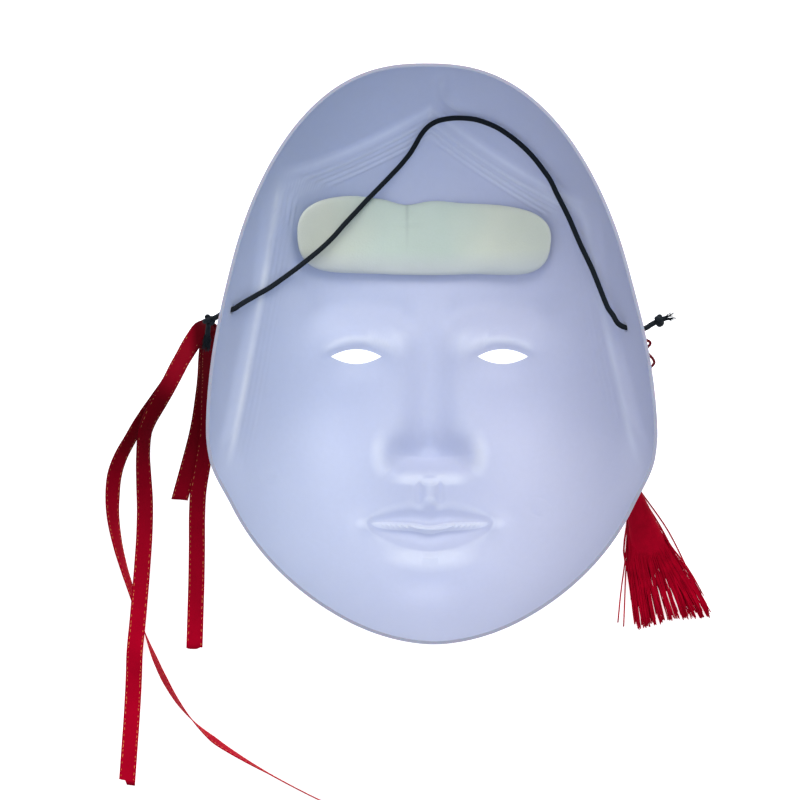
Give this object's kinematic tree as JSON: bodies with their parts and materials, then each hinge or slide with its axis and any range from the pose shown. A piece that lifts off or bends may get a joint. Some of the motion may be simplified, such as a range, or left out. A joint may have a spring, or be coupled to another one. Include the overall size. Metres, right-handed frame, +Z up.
{
  "type": "japanese mask",
  "caption": "Thin moulded plastic mask of a calm face with parted hair, lying face down, with a forehead pad, an elastic cord, ribbon tails and a tassel.",
  "frame": {"origin": "centre of the underside of the shell's box, on the surface that the mask lies on, with the cords, ribbons and tassel left out", "axes": "+X to the right and +Y towards the crown as seen from the hollow back, +Z up, out of the hollow, away from the face's front"},
  "size_m": [0.2404, 0.291, 0.0713],
  "materials": {
    "shell_plastic": "semi-gloss moulded plastic, pale lavender, slightly translucent",
    "pad_foam": "soft matte foam, pale greenish cream",
    "black_elastic": "braided, matte black",
    "red_satin": "satin ribbon, red, with a row of gold stitches along each edge",
    "red_silk": "shiny red thread"
  },
  "bodies": {
    "root": {"mask_shell": "shell_plastic", "forehead_pad": "pad_foam", "elastic_cord": "black_elastic", "left_knot": "black_elastic", "right_knot": "black_elastic", "ribbon_long": "red_satin", "ribbon_outer": "red_satin", "ribbon_inner": "red_satin", "ribbon_short": "red_satin", "tassel_cord": "red_silk", "tassel": "red_silk"}
  },
  "joints": []
}
